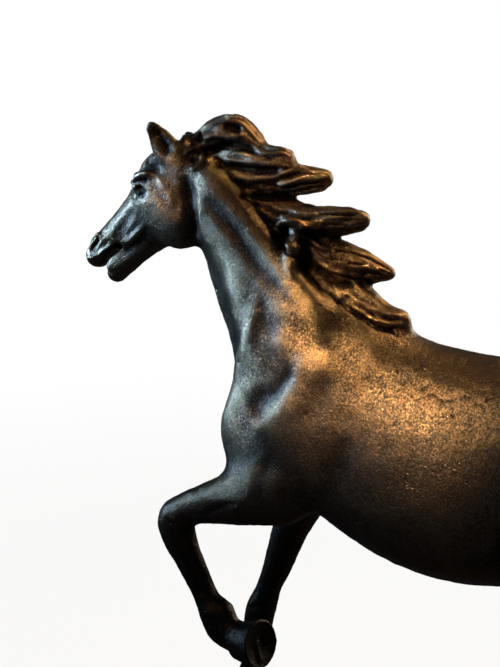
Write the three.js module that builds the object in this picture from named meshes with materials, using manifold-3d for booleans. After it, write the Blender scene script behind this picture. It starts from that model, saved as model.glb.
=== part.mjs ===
// A cast-iron statue of a cantering horse on a low base, modelled as a founder's clay: each limb, muscle
// and lock of hair is a rounded volume, the volumes flow into each other where they meet, and the whole is
// one solid. Millimetres, +Z up. The horse faces -X, and its left side is at -Y. The origin is the middle
// of the base's underside.
import * as THREE from 'three';
import { mergeVertices } from 'three/addons/utils/BufferGeometryUtils.js';
import Module from 'manifold-3d';

// Driving dimensions
const BASE = { length: 222, width: 80, height: 10, corner: 26, edge: 3, middle: 7 };
// The hooves stand this far off the base, so that the two castings stay separate solids.
const FOOT_GAP = 0.3;
const GROUND = BASE.height + FOOT_GAP;
const HOOF = { sole: 8.4, crown: 6.4, height: 10.5, sides: 20 };
const GRID = 1.55; // spacing of the lattice that the clay's surface is read on
const HORSE_TRIANGLES = 9100;
const GIRTH_TENSION = 0.4; // how freely a rod swells between its stations
const LEFT = -1; // the side of the horse that a y of this sign is on
const RIGHT = 1;

// The shapes that clay is made of. Each is a function that gives the distance from a point to its surface,
// negative inside, with the box that holds it.

// A rod along a smooth curve through stations [x, y, z, deep, wide]: deep is its half-thickness seen from
// the side, and wide its half-width seen from the front.
function rod(stations, steps = 4) {
  const middles = stations.map(([x, y, z]) => new THREE.Vector3(x, y, z));
  const girths = stations.map(([, , , deep, wide]) => new THREE.Vector3(deep, wide, 0));
  const path = new THREE.CatmullRomCurve3(middles, false, 'centripetal');
  const girth = new THREE.CatmullRomCurve3(girths, false, 'catmullrom', GIRTH_TENSION);
  const count = (stations.length - 1) * steps;
  const points = Array.from({ length: count + 1 }, (_, i) => path.getPoint(i / count));
  const sizes = Array.from({ length: count + 1 }, (_, i) => girth.getPoint(i / count));
  const box = new THREE.Box3();
  points.forEach((p, i) => {
    const reach = new THREE.Vector3(sizes[i].x, sizes[i].y, sizes[i].x);
    box.expandByPoint(p.clone().sub(reach)).expandByPoint(p.clone().add(reach));
  });
  const distance = (x, y, z) => {
    let nearest = Infinity;
    for (let i = 0; i < count; i++) {
      const a = points[i];
      const b = points[i + 1];
      const [dx, dy, dz] = [b.x - a.x, b.y - a.y, b.z - a.z];
      const along = ((x - a.x) * dx + (y - a.y) * dy + (z - a.z) * dz) / (dx * dx + dy * dy + dz * dz);
      const t = Math.min(1, Math.max(0, along));
      const deep = sizes[i].x + t * (sizes[i + 1].x - sizes[i].x);
      const wide = sizes[i].y + t * (sizes[i + 1].y - sizes[i].y);
      const offset = [x - a.x - t * dx, y - a.y - t * dy, z - a.z - t * dz];
      nearest = Math.min(nearest, ovalDistance(...offset, deep, wide, deep));
    }
    return nearest;
  };
  return { box, distance };
}

// An egg of half-sizes [long, wide, high], tipped about the sideways axis by pitch degrees, nose down for a
// positive one.
function egg([cx, cy, cz], [long, wide, high], pitch = 0) {
  const [cos, sin] = [Math.cos(THREE.MathUtils.degToRad(pitch)), Math.sin(THREE.MathUtils.degToRad(pitch))];
  const reach = Math.max(long, high);
  const box = new THREE.Box3(
    new THREE.Vector3(cx - reach, cy - wide, cz - reach),
    new THREE.Vector3(cx + reach, cy + wide, cz + reach),
  );
  const distance = (x, y, z) => {
    const [dx, dz] = [x - cx, z - cz];
    return ovalDistance(dx * cos + dz * sin, y - cy, dz * cos - dx * sin, long, wide, high);
  };
  return { box, distance };
}

// About how far a point is from an ellipsoid's surface.
function ovalDistance(x, y, z, a, b, c) {
  const [u, v, w] = [x / a, y / b, z / c];
  const scaled = Math.sqrt(u * u + v * v + w * w);
  const slope = Math.sqrt((u / a) ** 2 + (v / b) ** 2 + (w / c) ** 2);
  return slope < 1e-9 ? -Math.min(a, b, c) : (scaled * (scaled - 1)) / slope;
}

// The same shape on the horse's left side, its right side, or both
const mirrored = (make) => [make(LEFT), make(RIGHT)];

// Two surfaces flow into each other over a fillet of about this size.
const blend = (a, b, fillet) => {
  const overlap = Math.max(fillet - Math.abs(a - b), 0) / fillet;
  return Math.min(a, b) - (overlap * overlap * fillet) / 4;
};

class Clay {
  constructor() {
    this.steps = [];
  }

  // Clay that is pressed on
  add(fillet, ...shapes) {
    shapes.flat().forEach((shape) => this.steps.push({ ...shape, fillet, sign: 1 }));
    return this;
  }

  // A hollow or a groove that is cut in
  carve(fillet, ...shapes) {
    shapes.flat().forEach((shape) => this.steps.push({ ...shape, fillet, sign: -1 }));
    return this;
  }

  distance(x, y, z) {
    let d = Infinity;
    for (const { box, distance, fillet, sign } of this.steps) {
      const [sx, sy, sz] = [
        Math.max(box.min.x - x, x - box.max.x, 0),
        Math.max(box.min.y - y, y - box.max.y, 0),
        Math.max(box.min.z - z, z - box.max.z, 0),
      ];
      const away = Math.sqrt(sx * sx + sy * sy + sz * sz);
      if (sign > 0 && away < d + fillet) {
        d = d === Infinity ? distance(x, y, z) : blend(d, distance(x, y, z), fillet);
      }
      if (sign < 0 && away < fillet - d) {
        d = -blend(-d, distance(x, y, z), fillet);
      }
    }
    return d;
  }
}

// The trunk: chest, barrel, loins and croup
const trunk = rod([
  [-52, 0, 137, 19, 15],
  [-36, 0, 140.5, 29, 20],
  [-12, 0, 136.8, 34, 23.5],
  [18, 0, 133.1, 35.5, 25.5],
  [44, 0, 137, 31.5, 24.5],
  [62, 0, 146, 23.5, 21],
  [74, 0, 147, 17, 15],
]);
const withers = egg([-14, 0, 160.5], [22, 7, 8], -12);
const belly = egg([12, 0, 119.5], [38, 20, 21], 4);
const croup = mirrored((side) => egg([58, 9 * side, 154.5], [22, 11, 14], 8));
const breast = mirrored((side) => egg([-58.3, 7 * side, 129.5], [10, 9.5, 17], 0));

// The neck rises from the shoulders to the poll. The windpipe runs down its front, and a long muscle down
// each side.
const neck = rod([
  [-36, 0, 158, 29, 17],
  [-48, 0, 172, 22.5, 13.5],
  [-60, 0, 188, 17.8, 11],
  [-70, 0, 205, 15, 9.5],
  [-82, 0, 219, 12.5, 9],
]);
const windpipe = rod([
  [-75.5, 0, 203, 7, 6],
  [-67.6, 0, 183, 7.5, 7],
  [-60.4, 0, 166, 8.6, 9],
  [-54, 0, 148, 11, 11],
]);
const neckMuscle = mirrored((side) => rod([
  [-78, 8 * side, 211, 4, 2.8],
  [-65, 10 * side, 192, 5, 3.4],
  [-56.4, 12.5 * side, 172, 6, 4.2],
  [-56, 12.5 * side, 152, 7, 4.4],
]));
const crestMuscle = mirrored((side) => rod([
  [-75, 8 * side, 220, 4.5, 2.8],
  [-56, 9.5 * side, 199, 6, 3.4],
  [-38, 12 * side, 179, 8, 4],
]));

// The head, with the mouth open
const skull = rod([
  [-88, 0, 222, 11.5, 9],
  [-98, 0, 216.5, 12.6, 10],
  [-107, 0, 208.5, 10.8, 7.6],
  [-117, 0, 202.2, 8.2, 5.6],
  [-125.5, 0, 196.5, 6.4, 6],
  [-131, 0, 192.8, 4.6, 5],
]);
const upperLip = egg([-130.6, 0, 190.6], [4.6, 4.6, 2.9], -12);
const cheek = mirrored((side) => egg([-92.8, 5 * side, 209.3], [14, 5.6, 11.4], -43));
const lowerJaw = rod([
  [-94, 0, 206, 7.4, 7],
  [-105, 0, 200.6, 5.6, 5.4],
  [-114, 0, 193.6, 4.8, 4.4],
  [-121, 0, 188.2, 4.3, 4.4],
]);
const lowerLip = egg([-122.8, 0, 187.6], [4, 4.4, 5.4], 10);
const brow = mirrored((side) => egg([-104.2, 8 * side, 221], [6.2, 2.8, 2.4], 17));
const eye = mirrored((side) => egg([-105, 8 * side, 216.6], [3.4, 2.4, 3], 40));
const mouthGap = rod([
  [-116, 0, 197.6, 0.5, 14],
  [-122.5, 0, 194.2, 0.7, 14],
  [-125.8, 0, 190.4, 0.9, 14],
  [-128.4, 0, 184, 1.6, 14],
]);
const nostril = mirrored((side) => egg([-129, 5.6 * side, 197.3], [2.8, 1.8, 1.8], -50));
const nearEar = rod([
  [-90, -6.5, 227, 5.4, 3.6],
  [-94, -8, 232, 4.9, 3],
  [-97, -9, 236.6, 3.6, 2.2],
  [-98.8, -9.5, 239.2, 2.4, 1.6],
]);
const farEar = rod([
  [-88.5, 6.5, 227, 5, 3.6],
  [-91.5, 8, 231.5, 4.4, 3],
  [-94.5, 8.5, 235, 3, 2.2],
  [-96, 8.5, 237, 1.8, 1.4],
]);
const forelock = rod([
  [-88, 0, 232, 4, 4.5],
  [-99, 0, 229.5, 3.6, 4.5],
  [-106, -1, 226, 2.6, 3],
  [-109.5, -1, 222.5, 1.5, 1.6],
]);

// The shoulder and the upper arm, with a hollow between the shoulder and the neck
const shoulder = mirrored((side) => rod([
  [-18, 9 * side, 159, 9, 4.5],
  [-36, 14 * side, 151, 10, 5.5],
  [-55, 14 * side, 142, 10.5, 6],
]));
const upperArm = mirrored((side) => rod([
  [-57.5, 12.5 * side, 136, 10, 6.5],
  [-50, 15 * side, 121, 11.5, 6.5],
]));
const backOfArm = mirrored((side) => egg([-34, 15.5 * side, 133], [14, 6.5, 19], 35));
const shoulderHollow = mirrored((side) => rod([
  [-41.5, 21 * side, 158.4, 2.4, 2.6],
  [-46, 21.5 * side, 154, 3, 3],
  [-51, 21.5 * side, 148.6, 2.4, 2.6],
]));

// The left foreleg is lifted and folded at the knee, and the sole of its hoof faces back.
const LIFTED_SOLE = { at: [-48.9, -20.5, 64.4], facing: [0.95, -0.18, 0.2] };
const liftedForeleg = [
  rod([
    [-45, -15, 119, 12.6, 8],
    [-56, -17.5, 115.4, 10.2, 7.8],
    [-67, -18.3, 111.8, 7.9, 6.8],
    [-78, -18.5, 107.6, 6.2, 5.8],
    [-84.6, -18.5, 102.2, 7, 6.2],
    [-82.7, -18.5, 94.3, 6.2, 5.5],
    [-80, -18.5, 89.4, 5.1, 4.9],
    [-76, -18.5, 82.8, 4.6, 4.5],
    [-72.5, -18.5, 76.2, 4.3, 4.3],
    [-69.4, -18.5, 70.6, 5.2, 4.9],
    [-65.8, -18.7, 65.8, 5.9, 5.3],
    [-60.5, -19.2, 64, 5.4, 5],
    [-56, -19.6, 63.8, 6, 5.4],
  ]),
  egg([-64.3, -18.5, 72], [3.2, 3, 3.4], 40),
];

// The other three stand. Each sole is named by its middle, and its crown lies back by this lean over the
// hoof's height.
const STANDING_SOLES = [
  { at: [-84.5, 15], lean: 0.5 },
  { at: [98.5, -15.5], lean: 0.5 },
  { at: [35.5, 14], lean: 0.5 },
];

// The right foreleg reaches forward and stands.
const standingForeleg = rod([
  [-46.4, 13, 118, 13, 8],
  [-52.8, 14.5, 102, 8.4, 7.2],
  [-57.4, 15, 90, 6.5, 6.2],
  [-60.9, 15, 79, 5.6, 5.4],
  [-65.2, 15, 68, 4.6, 4.9],
  [-69, 15, 57.5, 6, 5.8],
  [-70.2, 15, 50.5, 5.5, 5.2],
  [-71, 15, 43, 4.7, 4.5],
  [-73, 15, 32.5, 4.5, 4.3],
  [-74.6, 15, 26.6, 5.6, 5.2],
  [-79.6, 15, 20, 4.9, 5],
]);

// The hind legs: the left one pushes off behind, and the right one swings forward under the belly. Each has
// a thigh with the long muscle at its back, a gaskin, and the point of its hock behind the joint.
const pushingHindLeg = [
  rod([
    [60, -9, 147, 20, 10.5],
    [54, -13, 130, 18.5, 10],
    [50, -16.5, 114, 13.5, 8.5],
    [61, -17, 101, 10.4, 7.2],
    [76, -16.2, 87.5, 6.6, 5.8],
    [88.5, -15.5, 76.5, 6.3, 5.4],
    [92.5, -15.5, 67, 5.6, 4.8],
    [96.5, -15.5, 53, 4.7, 4.3],
    [101, -15.5, 38, 4.7, 4.4],
    [103.4, -15.5, 29.8, 5.9, 5.3],
    [100.6, -15.5, 21, 5, 5],
  ]),
  rod([
    [75, -9, 149, 9, 6],
    [73, -13, 130, 9, 6.5],
    [70, -15, 112, 8, 6],
    [78, -16, 94, 4.4, 4],
  ]),
  rod([
    [80, -16, 92.6, 2.4, 2.4],
    [94.8, -15.5, 83, 3, 2.8],
    [97.4, -15.5, 72.5, 2.4, 2.6],
  ]),
];
const swingingHindLeg = [
  rod([
    [59, 9, 147, 20, 10.5],
    [47, 13, 131, 18, 10],
    [37.5, 16.5, 114.5, 13.5, 8.5],
    [43, 16, 101, 10.6, 7.2],
    [54, 15.2, 84.5, 6.8, 5.8],
    [64, 14.5, 71, 6.3, 5.4],
    [63, 14, 62, 5.6, 4.8],
    [57.6, 14, 49, 4.7, 4.3],
    [51, 14, 36, 4.7, 4.4],
    [47.2, 14, 28.6, 5.8, 5.2],
    [40.6, 14, 20.6, 5, 5],
  ]),
  rod([
    [75, 9, 149, 9, 6],
    [67, 13, 131, 9, 6.5],
    [58, 15, 113, 8, 6],
    [60, 15.5, 92, 4.2, 4],
  ]),
  rod([
    [61, 15, 89.4, 2.4, 2.4],
    [71.6, 14.5, 76.6, 3, 2.8],
    [70.4, 14, 66.4, 2.4, 2.6],
  ]),
];

// The mane is a ridge along the crest, with locks that stream back from it.
const crest = rod([
  [-86, 0, 230, 4.5, 4],
  [-74, 0, 227, 6, 5.5],
  [-62, 0, 215, 6.5, 6],
  [-50, 0, 202, 6.5, 6],
  [-37, 0, 190, 6.5, 5.5],
  [-22, 0, 180, 5.5, 5],
  [-9, 0, 171, 4, 4],
]);
const maneLocks = [
  [[-85, 0, 233.5, 3.6, 4], [-78, 0, 236.5, 5.4, 6], [-70.5, 0, 236.5, 6.6, 6.5], [-64, 0, 233.5, 4.6, 5]],
  [[-70, 0, 227, 5, 5.5], [-60, -1, 227.5, 5.4, 5.5], [-52, -1, 228, 4.7, 4.6]],
  [[-66, 0, 220, 5.5, 5.5], [-55, 1, 221, 6.2, 5.5], [-45, 1, 221.4, 4.7, 4.6],
    [-37.8, 1, 221.8, 3.7, 3.6]],
  [[-56, 0, 210, 5.5, 6], [-44, -1, 208, 6, 5.5], [-32, -1, 208.2, 4.6, 4.6],
    [-23.8, -1, 208.8, 3.9, 3.6]],
  [[-45, 0, 199, 6.5, 6.5], [-34, 1, 195.8, 7.4, 6], [-23, 1, 193.6, 5.2, 4.8], [-14, 1, 191.8, 2.6, 2.8]],
  [[-35, 0, 188, 6, 6], [-24, -1, 182, 6.2, 5.5], [-14, -1, 177.2, 4.6, 4.6], [-9, -1, 177.4, 3.8, 3.6]],
].map((stations) => rod(stations));
const strayLock = rod([
  [-50, -6, 206, 2.4, 3],
  [-45.5, -6.8, 206.8, 2.6, 3.2],
  [-41.8, -7, 205.2, 2.4, 3.2],
  [-42.2, -7.4, 201, 2.4, 3.2],
  [-44.8, -8.6, 196, 2.4, 3],
  [-46, -10, 191, 2, 2.4],
]);

// The tail is carried high, in locks that part towards their ends.
const tail = [
  [[76, 0, 158, 7, 7], [88, 0, 163.5, 6.5, 6.5], [102, 0, 164, 8, 8], [116, 0, 155, 9, 8.5],
    [126, 0, 139, 8, 7.5], [132, 0, 121, 6, 5.5], [139, 0, 104, 2.4, 2.6]],
  [[98, 0, 163, 6, 7], [112, 4, 161, 6, 5], [126, 7, 151, 5.5, 4.6], [136, 8, 136, 4, 3.6],
    [142, 8, 121, 1.8, 2]],
  [[100, 0, 159, 6, 7], [112, -4, 147, 6, 5], [119, -7, 130, 5.2, 4.6], [122, -8, 112, 3.8, 3.6],
    [128, -8, 97, 1.8, 2]],
].map((stations) => rod(stations));

function horseClay() {
  return new Clay()
    .add(12, trunk, withers)
    .add(14, belly, croup)
    .add(12, neck)
    .add(6, breast, windpipe, neckMuscle, crestMuscle)
    .add(6, shoulder, backOfArm)
    .add(6, upperArm)
    .carve(6, shoulderHollow)
    .add(5, skull)
    .add(3, cheek, lowerJaw)
    .add(1.5, brow, eye)
    .add(2, upperLip, lowerLip)
    .carve(1.2, mouthGap, nostril)
    .add(2, nearEar, farEar, forelock)
    .add(5, liftedForeleg, standingForeleg)
    .add(9, pushingHindLeg[0], swingingHindLeg[0])
    .add(7, pushingHindLeg[1], swingingHindLeg[1])
    .add(3, pushingHindLeg[2], swingingHindLeg[2])
    .add(3, crest, maneLocks)
    .add(2, strayLock)
    .add(4, tail);
}

// Reads the clay's surface on a lattice. Each cube of it is six tetrahedra round the diagonal, and the
// surface crosses a tetrahedron in one or two triangles, so the result is always one closed skin.
const AXES = [1, 2, 4];
const TETRAHEDRA = [[0, 1, 2], [1, 2, 0], [2, 0, 1], [0, 2, 1], [2, 1, 0], [1, 0, 2]].map(([a, b], i) => ({
  corners: [0, AXES[a], AXES[a] + AXES[b], 7],
  turned: i > 2,
}));

// Which corners lie inside, as a bit for each, and the order in which the corners are then taken: the lone
// corner first, or the inside pair first
const ALL_INSIDE = 15;
const LONE = { 1: [0, 1, 2, 3], 2: [1, 0, 3, 2], 4: [2, 3, 0, 1], 8: [3, 2, 1, 0] };
const PAIR = {
  3: [0, 1, 2, 3], 5: [0, 2, 3, 1], 9: [0, 3, 1, 2], 6: [1, 2, 0, 3], 10: [1, 3, 2, 0], 12: [2, 3, 0, 1],
};
const BLOCK = 6; // lattice steps in a block that is passed over whole where it is far from the surface
const FAR = 1.6; // block sizes
const CLEAR_OF_CORNER = 0.03; // share of an edge that a crossing keeps from its ends

function skinOf(clay, box, spacing) {
  const size = box.getSize(new THREE.Vector3()).divideScalar(spacing).ceil().addScalar(1);
  const [nx, ny, nz] = size.toArray();
  const field = new Float32Array(nx * ny * nz);
  const place = (i, j, k) => [box.min.x + i * spacing, box.min.y + j * spacing, box.min.z + k * spacing];
  const everyCell = (stride, visit) => {
    for (let k = 0; k < nz; k += stride) {
      for (let j = 0; j < ny; j += stride) {
        for (let i = 0; i < nx; i += stride) visit(i, j, k);
      }
    }
  };
  const blocks = new Map();
  everyCell(BLOCK, (i, j, k) => {
    const middle = clay.distance(...place(i + BLOCK / 2, j + BLOCK / 2, k + BLOCK / 2));
    blocks.set([i, j, k].join(), middle);
  });
  everyCell(1, (i, j, k) => {
    const middle = blocks.get([i - (i % BLOCK), j - (j % BLOCK), k - (k % BLOCK)].join());
    const isFar = Math.abs(middle) > FAR * BLOCK * spacing;
    field[i + nx * (j + ny * k)] = isFar ? middle : clay.distance(...place(i, j, k));
  });
  const step = (corner) => (corner & 1) + (corner & 2 ? nx : 0) + (corner & 4 ? nx * ny : 0);
  const positions = [];
  const made = new Map();
  const crossing = (cell, from, to) => {
    const [low, high] = from < to ? [from, to] : [to, from];
    const start = cell + step(low);
    const key = start * 8 + (high - low);
    if (!made.has(key)) {
      const [a, b] = [field[start], field[cell + step(high)]];
      const t = Math.min(1 - CLEAR_OF_CORNER, Math.max(CLEAR_OF_CORNER, a / (a - b)));
      const edge = high - low;
      made.set(key, positions.length / 3);
      positions.push(
        box.min.x + ((start % nx) + (edge & 1 ? t : 0)) * spacing,
        box.min.y + ((Math.floor(start / nx) % ny) + (edge & 2 ? t : 0)) * spacing,
        box.min.z + (Math.floor(start / (nx * ny)) + (edge & 4 ? t : 0)) * spacing,
      );
    }
    return made.get(key);
  };
  const faces = [];
  everyCell(1, (i, j, k) => {
    if (i === nx - 1 || j === ny - 1 || k === nz - 1) return;
    const cell = i + nx * (j + ny * k);
    const isInside = (corner) => field[cell + step(corner)] < 0;
    const first = isInside(0);
    if ([1, 2, 3, 4, 5, 6, 7].every((corner) => isInside(corner) === first)) return;
    for (const { corners, turned } of TETRAHEDRA) {
      const inside = corners.reduce((bits, corner, n) => bits | (isInside(corner) ? 1 << n : 0), 0);
      if (inside === 0 || inside === ALL_INSIDE) continue;
      const hollow = !PAIR[inside] && !LONE[inside]; // the lone corner is the one outside
      const order = PAIR[inside] ?? LONE[hollow ? ALL_INSIDE - inside : inside];
      const [a, b, c, d] = order.map((n) => corners[n]);
      const edges = PAIR[inside] ? [[a, c], [a, d], [b, d], [b, c]] : [[a, b], [a, c], [a, d]];
      const ring = edges.map(([p, q]) => crossing(cell, p, q));
      if (turned !== hollow) ring.reverse();
      for (let n = 2; n < ring.length; n++) faces.push(ring[0], ring[n - 1], ring[n]);
    }
  });
  return { positions, faces };
}

// Thins the skin to the number of triangles wanted. The edge whose loss moves the surface least goes first,
// and every vertex remembers the planes that it stands for as one quadric of ten numbers.
const SHORT_EDGES_FIRST = 2e-3; // cost of an edge's squared length, so that flat places thin evenly
const NO_BEST_PLACE = 1e-6; // below this determinant the planes don't meet in one point
const LEAST_TURN = 0.25; // cosine of the most that a triangle may turn

function thin({ positions, faces }, wanted) {
  const at = Float64Array.from(positions);
  const count = at.length / 3;
  const point = (v) => new THREE.Vector3(at[3 * v], at[3 * v + 1], at[3 * v + 2]);
  const triangles = Array.from({ length: faces.length / 3 }, (_, f) => faces.slice(3 * f, 3 * f + 3));
  const round = Array.from({ length: count }, () => new Set());
  const quadric = Array.from({ length: count }, () => new Float64Array(10));
  const normalOf = ([a, b, c]) => b.clone().sub(a).cross(c.clone().sub(a));

  triangles.forEach((triangle, f) => {
    const corners = triangle.map(point);
    const normal = normalOf(corners);
    const area = normal.length();
    if (area > 0) normal.divideScalar(area);
    const plane = [...normal.toArray(), -normal.dot(corners[0])];
    triangle.forEach((v) => {
      round[v].add(f);
      let n = 0;
      for (let i = 0; i < 4; i++) {
        for (let j = i; j < 4; j++) quadric[v][n++] += area * plane[i] * plane[j];
      }
    });
  });

  const errorAt = (q, { x, y, z }) => {
    const squares = q[0] * x * x + q[4] * y * y + q[7] * z * z;
    const products = q[1] * x * y + q[2] * x * z + q[5] * y * z;
    return squares + 2 * (products + q[3] * x + q[6] * y + q[8] * z) + q[9];
  };
  const neighbours = (v) => new Set([...round[v]].flatMap((f) => triangles[f]).filter((n) => n !== v));

  // Where the two ends of an edge meet best, and what that costs
  const stamp = new Int32Array(count);
  const offer = (u, v) => {
    const q = quadric[u].map((value, i) => value + quadric[v][i]);
    const [a, b] = [point(u), point(v)];
    const places = [a.clone().lerp(b, 0.5), a, b];
    const matrix = new THREE.Matrix3(q[0], q[1], q[2], q[1], q[4], q[5], q[2], q[5], q[7]);
    const size = Math.abs(matrix.determinant());
    if (size > NO_BEST_PLACE) {
      const best = new THREE.Vector3(-q[3], -q[6], -q[8]).applyMatrix3(matrix.invert());
      if (best.distanceTo(places[0]) < 2 * a.distanceTo(b)) places.unshift(best);
    }
    const costs = places.map((place) => errorAt(q, place));
    const cheapest = costs.indexOf(Math.min(...costs));
    const cost = costs[cheapest] + SHORT_EDGES_FIRST * a.distanceToSquared(b);
    return { u, v, place: places[cheapest], cost, age: stamp[u] + stamp[v] };
  };

  // A binary heap of offers, the cheapest on top
  const heap = [];
  const push = (item) => {
    let i = heap.push(item) - 1;
    while (i > 0 && heap[(i - 1) >> 1].cost > item.cost) {
      heap[i] = heap[(i - 1) >> 1];
      i = (i - 1) >> 1;
    }
    heap[i] = item;
  };
  const pop = () => {
    const top = heap[0];
    const last = heap.pop();
    if (!heap.length) return top;
    let i = 0;
    for (;;) {
      let child = 2 * i + 1;
      if (child >= heap.length) break;
      if (child + 1 < heap.length && heap[child + 1].cost < heap[child].cost) child++;
      if (heap[child].cost >= last.cost) break;
      heap[i] = heap[child];
      i = child;
    }
    heap[i] = last;
    return top;
  };
  for (let v = 0; v < count; v++) {
    [...neighbours(v)].filter((n) => n > v).forEach((n) => push(offer(v, n)));
  }

  // An edge may go if the skin stays a skin and no triangle near it turns over.
  const turnsOver = (v, other, place) => [...round[v]].some((f) => {
    if (triangles[f].includes(other)) return false;
    const before = normalOf(triangles[f].map(point));
    const after = normalOf(triangles[f].map((n) => (n === v ? place : point(n))));
    return before.dot(after) < LEAST_TURN * before.length() * after.length();
  });
  let left = triangles.length;
  while (left > wanted && heap.length) {
    const { u, v, place, age } = pop();
    if (!round[u].size || !round[v].size || age !== stamp[u] + stamp[v]) continue;
    const beside = neighbours(v);
    if ([...neighbours(u)].filter((n) => beside.has(n)).length !== 2) continue;
    if (turnsOver(u, v, place) || turnsOver(v, u, place)) continue;
    for (const f of [...round[v]]) {
      if (triangles[f].includes(u)) {
        triangles[f].forEach((n) => round[n].delete(f));
        triangles[f] = null;
        left--;
      } else {
        triangles[f] = triangles[f].map((n) => (n === v ? u : n));
        round[u].add(f);
      }
    }
    round[v].clear();
    at.set(place.toArray(), 3 * u);
    quadric[v].forEach((value, i) => { quadric[u][i] += value; });
    stamp[u]++;
    for (const n of neighbours(u)) push(offer(u, n));
  }
  return new THREE.BufferGeometry()
    .setAttribute('position', new THREE.BufferAttribute(new Float32Array(at), 3))
    .setIndex(triangles.filter(Boolean).flat());
}

// Joins and cuts of closed shapes
const wasm = await Module();
wasm.setup();

function solid(geometry) {
  const plain = (geometry.index ? geometry.toNonIndexed() : geometry).clone();
  ['normal', 'uv'].forEach((name) => plain.deleteAttribute(name));
  const merged = mergeVertices(plain, 1e-4);
  return new wasm.Manifold(new wasm.Mesh({
    numProp: 3,
    vertProperties: merged.attributes.position.array,
    triVerts: new Uint32Array(merged.index.array),
  }));
}

function geometryOf(manifold) {
  const { vertProperties, triVerts } = manifold.getMesh();
  return new THREE.BufferGeometry()
    .setAttribute('position', new THREE.BufferAttribute(vertProperties, 3))
    .setIndex(new THREE.BufferAttribute(triVerts, 1));
}

// A hoof is a short cone that widens from the crown to the sole. One that stands leans forward over a level
// sole.
function standingHoof({ at: [x, y], lean }) {
  return new THREE.CylinderGeometry(HOOF.crown, HOOF.sole, HOOF.height, HOOF.sides)
    .rotateX(Math.PI / 2)
    .applyMatrix4(new THREE.Matrix4().makeShear(0, 0, 0, 0, lean, 0))
    .translate(x, y, GROUND + HOOF.height / 2);
}

function liftedHoof({ at, facing }) {
  const axis = new THREE.Vector3(...facing).normalize();
  return new THREE.CylinderGeometry(HOOF.sole, HOOF.crown, HOOF.height, HOOF.sides)
    .applyQuaternion(new THREE.Quaternion().setFromUnitVectors(new THREE.Vector3(0, 1, 0), axis))
    .translate(...new THREE.Vector3(...at).addScaledVector(axis, -HOOF.height / 2).toArray());
}

function makeHorse() {
  const clay = horseClay();
  const box = new THREE.Box3();
  clay.steps.filter((step) => step.sign > 0).forEach((step) => box.union(step.box));
  const body = solid(thin(skinOf(clay, box.expandByScalar(2 * GRID), GRID), HORSE_TRIANGLES));
  const hooves = [liftedHoof(LIFTED_SOLE), ...STANDING_SOLES.map(standingHoof)].map(solid);
  return geometryOf(hooves.reduce((whole, hoof) => whole.add(hoof), body));
}

// The base is a low slab with rounded corners and edges, and a raised oval of ground on it.
function slab(length, width, height, corner, edge) {
  const [x, y] = [length / 2 - edge, width / 2 - edge];
  const outline = new THREE.Shape();
  outline.moveTo(-x + corner, -y);
  outline.lineTo(x - corner, -y).absarc(x - corner, -y + corner, corner, -Math.PI / 2, 0);
  outline.lineTo(x, y - corner).absarc(x - corner, y - corner, corner, 0, Math.PI / 2);
  outline.lineTo(-x + corner, y).absarc(-x + corner, y - corner, corner, Math.PI / 2, Math.PI);
  outline.lineTo(-x, -y + corner).absarc(-x + corner, -y + corner, corner, Math.PI, 1.5 * Math.PI);
  return new THREE.ExtrudeGeometry(outline, {
    depth: height - edge, bevelThickness: edge, bevelSize: edge, bevelSegments: 2, curveSegments: 6,
  });
}

function makeBase() {
  const { length, width, height, corner, edge } = BASE;
  const whole = solid(slab(length, width, height, corner, edge));
  const below = solid(new THREE.BoxGeometry(2 * length, 2 * width, 4 * edge).translate(0, 0, -2 * edge));
  return geometryOf(whole.subtract(below));
}

const iron = new THREE.MeshStandardMaterial({
  name: 'bronzed_iron', color: 0x3a2c20, roughness: 0.42, metalness: 0.75,
});
const blackIron = new THREE.MeshStandardMaterial({
  name: 'black_iron', color: 0x1c1a18, roughness: 0.5, metalness: 0.7,
});

const horse = new THREE.Mesh(makeHorse(), iron);
horse.name = 'horse';
horse.position.x = -BASE.middle;
const base = new THREE.Mesh(makeBase(), blackIron);
base.name = 'base';

const statue = new THREE.Group();
statue.add(horse, base);
export default statue;
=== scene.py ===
# %% [markdown]
# A small cast iron statue of a horse at a canter. The founder cast the horse in one piece and bronzed
# it: a dark brown skin, rubbed through to gold on what stands proud. Below it is a low base of plain
# dark iron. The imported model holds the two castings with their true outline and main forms. This script
# gives them the surface of the real ones: locks of hair, eyes, nostrils, muscles, tendons, casting pits
# and sand grain.

# %% Load the frame
import math

import bpy
import numpy as np
from mathutils import Matrix, Vector
from mathutils.bvhtree import BVHTree


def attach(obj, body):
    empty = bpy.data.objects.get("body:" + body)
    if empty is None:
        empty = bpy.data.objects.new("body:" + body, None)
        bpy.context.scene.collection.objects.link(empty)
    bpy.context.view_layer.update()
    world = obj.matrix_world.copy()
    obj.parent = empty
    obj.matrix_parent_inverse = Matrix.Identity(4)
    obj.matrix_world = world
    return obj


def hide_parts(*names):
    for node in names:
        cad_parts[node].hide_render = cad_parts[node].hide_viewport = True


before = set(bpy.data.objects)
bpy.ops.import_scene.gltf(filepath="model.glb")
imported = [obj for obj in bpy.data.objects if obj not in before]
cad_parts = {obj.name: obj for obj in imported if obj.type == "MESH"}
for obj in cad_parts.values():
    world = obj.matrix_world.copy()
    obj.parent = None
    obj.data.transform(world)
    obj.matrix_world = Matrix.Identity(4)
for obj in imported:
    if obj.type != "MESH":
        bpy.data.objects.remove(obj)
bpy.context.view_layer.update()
MM = 0.001

# %% [markdown]
# The camera comes first. It stands where the photograph was taken from: behind the left shoulder, a
# little above it, and close, so the barrel looks large and the head small.

# %% Camera
PHOTO_HEIGHT = 667
FOCAL_LENGTH = 1000  # in pixels of the photograph
VIEW_FROM = math.radians(30)  # round from the horse's left side, towards its tail
VIEW_ABOVE = math.radians(10)
VIEW_DISTANCE = 350 * MM
LOOK_AT = Vector((-72, 0, 168)) * MM


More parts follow.
